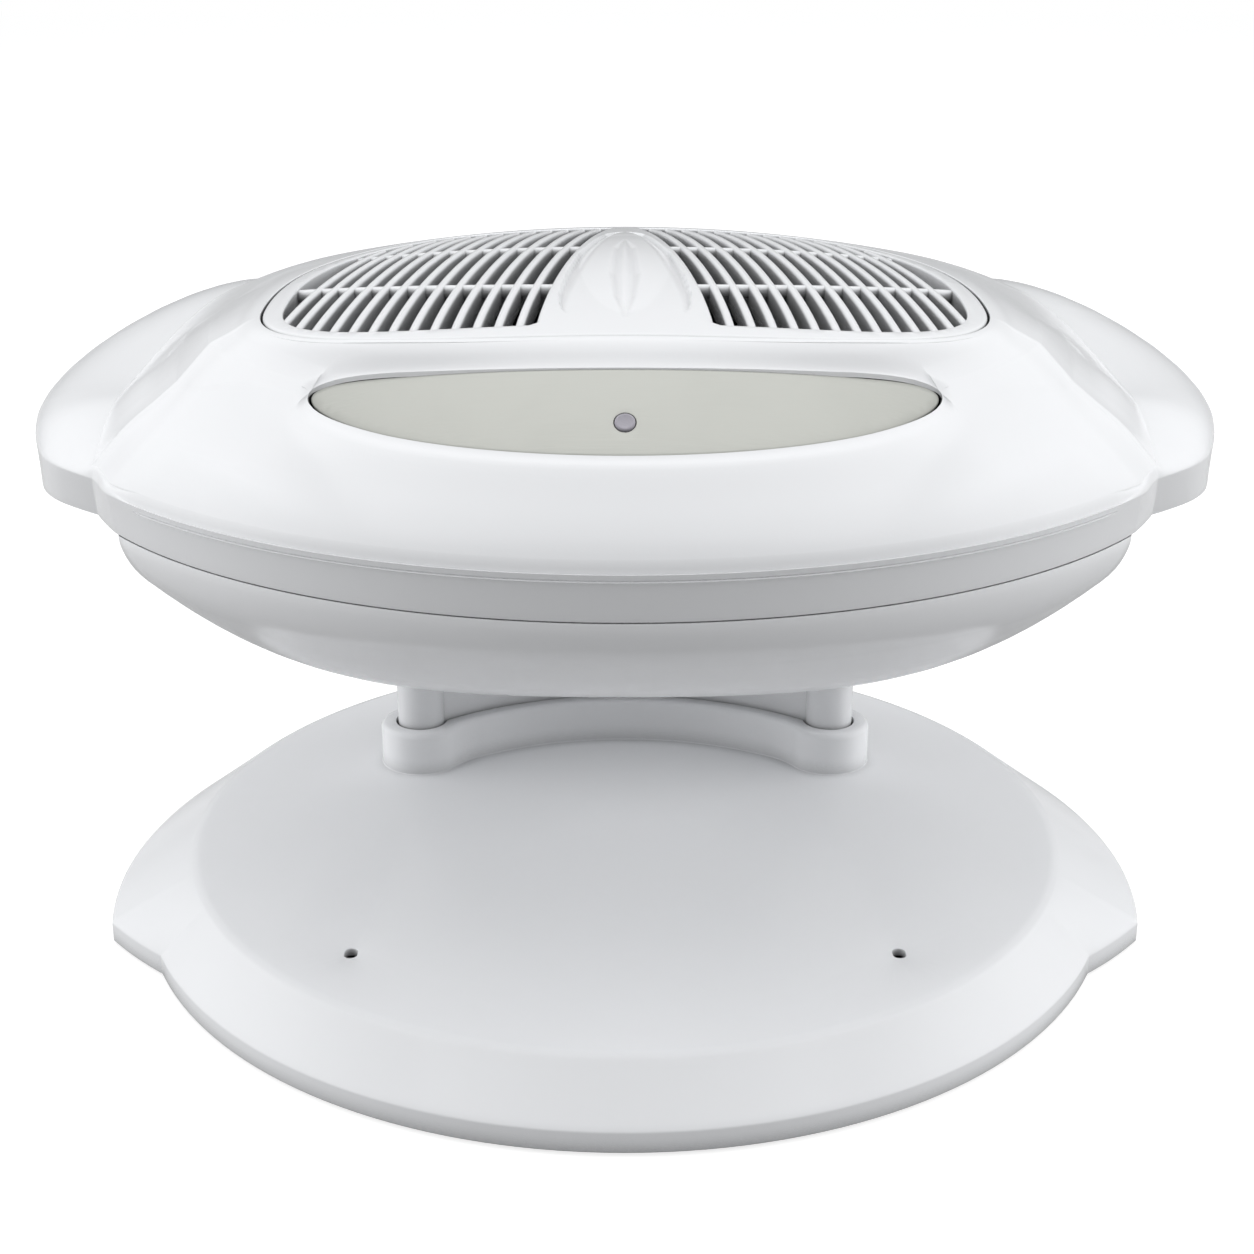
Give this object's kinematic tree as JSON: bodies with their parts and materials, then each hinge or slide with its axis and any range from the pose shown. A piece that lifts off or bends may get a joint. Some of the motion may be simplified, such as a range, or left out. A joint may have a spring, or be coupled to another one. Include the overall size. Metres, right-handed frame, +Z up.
{
  "type": "nail polish fan dryer",
  "caption": "Tabletop fan dryer for painted nails: a round hand tray, a short curved column and a domed head with fans behind a louvred grille, a button panel and a rear rocker switch.",
  "frame": {"origin": "centre of the round hand tray at table level, which is also the bottom centre of the whole part's box", "axes": "+Z up, -Y towards the user (the open side where the hands go in), +X to the user's right"},
  "size_m": [0.347, 0.3454, 0.2209],
  "materials": {
    "gloss_white": "glossy",
    "matte_white": "matte",
    "rubber_black": "matte",
    "screw_steel": "satin",
    "sensor_black": "glossy",
    "cable_black": "satin",
    "panel_silver": "brushed, satin",
    "button_grey": "satin",
    "board_green": "satin solder mask",
    "switch_black": "matte",
    "mica": "mica sheet, matte",
    "coil_metal": "oxidised resistance wire",
    "fan_black": "matte",
    "motor_metal": "satin",
    "rotor_grey": "satin",
    "relay_blue": "satin",
    "rocker_black": "glossy"
  },
  "bodies": {
    "stand": {"base_tray": "gloss_white", "base_plate": "matte_white", "rubber_feet": "rubber_black", "base_screws": "screw_steel", "hand_sensor_left": "sensor_black", "hand_sensor_right": "sensor_black", "sensor_lead_left": "cable_black", "sensor_lead_right": "cable_black", "column": "gloss_white", "column_screws": "screw_steel", "lower_shell": "gloss_white", "upper_shell": "gloss_white", "shell_screws": "screw_steel", "grille_insert": "gloss_white", "control_panel": "panel_silver", "switch_board": "board_green", "tact_switch": "switch_black", "air_duct_left": "matte_white", "air_duct_right": "matte_white", "outlet_grille_left": "gloss_white", "outlet_grille_right": "gloss_white", "heater_frame_left": "mica", "heater_frame_right": "mica", "heater_coil_left": "coil_metal", "heater_coil_right": "coil_metal", "thermal_cutouts": "screw_steel", "fan_frame_left": "fan_black", "fan_frame_right": "fan_black", "fan_motor_left": "motor_metal", "fan_motor_right": "motor_metal", "fan_screws": "screw_steel", "main_board": "board_green", "transformer": "motor_metal", "capacitors": "switch_black", "relay": "relay_blue", "rocker_housing": "switch_black", "power_inlet": "switch_black"},
    "fan_left": {"fan_rotor_left": "rotor_grey", "fan_shaft_left": "screw_steel"},
    "fan_right": {"fan_rotor_right": "rotor_grey", "fan_shaft_right": "screw_steel"},
    "button": {"power_button": "button_grey"},
    "rocker": {"mode_rocker": "rocker_black"}
  },
  "joints": [
    {"name": "fan_left_spin", "type": "hinge", "parent": "stand", "child": "fan_left", "pos_m": [-0.046, -0.042, 0.187], "axis": [0, 0, 1], "continuous": true},
    {"name": "fan_right_spin", "type": "hinge", "parent": "stand", "child": "fan_right", "pos_m": [0.046, -0.042, 0.187], "axis": [0, 0, 1], "continuous": true},
    {"name": "button_press", "type": "slide", "parent": "stand", "child": "button", "axis": [0, 0.6157, -0.788], "range_m": [0, 0.0008], "stiffness_N_per_m": 900, "springref_m": -0.001},
    {"name": "rocker_tip", "type": "hinge", "parent": "stand", "child": "rocker", "pos_m": [-0.0185, 0.1677, 0.1424], "axis": [0, 0, 1], "range_deg": [-10, 10]}
  ]
}
